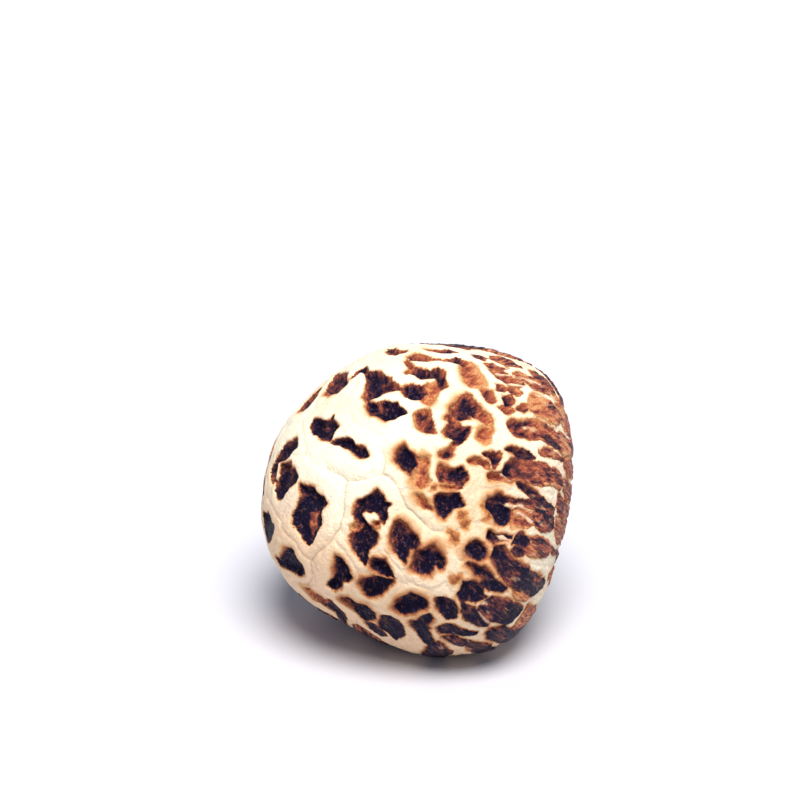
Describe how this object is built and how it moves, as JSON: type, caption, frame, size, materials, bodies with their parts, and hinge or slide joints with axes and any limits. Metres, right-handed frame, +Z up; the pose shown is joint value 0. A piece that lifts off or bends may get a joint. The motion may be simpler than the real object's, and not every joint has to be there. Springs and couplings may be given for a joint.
{
  "type": "dried shiitake mushroom",
  "caption": "Dried shiitake mushroom lying tilted, with a thick domed cap, cream flesh swollen between islands of dark skin, close gills under a rolled margin and a short bent stem.",
  "frame": {"origin": "middle of the bounding box's footprint, on the surface that the mushroom lies on", "axes": "+Z up as the mushroom lies, the crown of the cap faces -Y, turned 30 degrees to -X and up, and the stem reaches down at +Y"},
  "size_m": [0.0519, 0.0494, 0.0487],
  "materials": {
    "flesh": "matte, dry, finely wrinkled",
    "skin": "matte, scaly",
    "gills": "matte, thin blades",
    "stem": "matte, fibrous"
  },
  "bodies": {
    "root": {"shiitake": "flesh"}
  },
  "joints": []
}
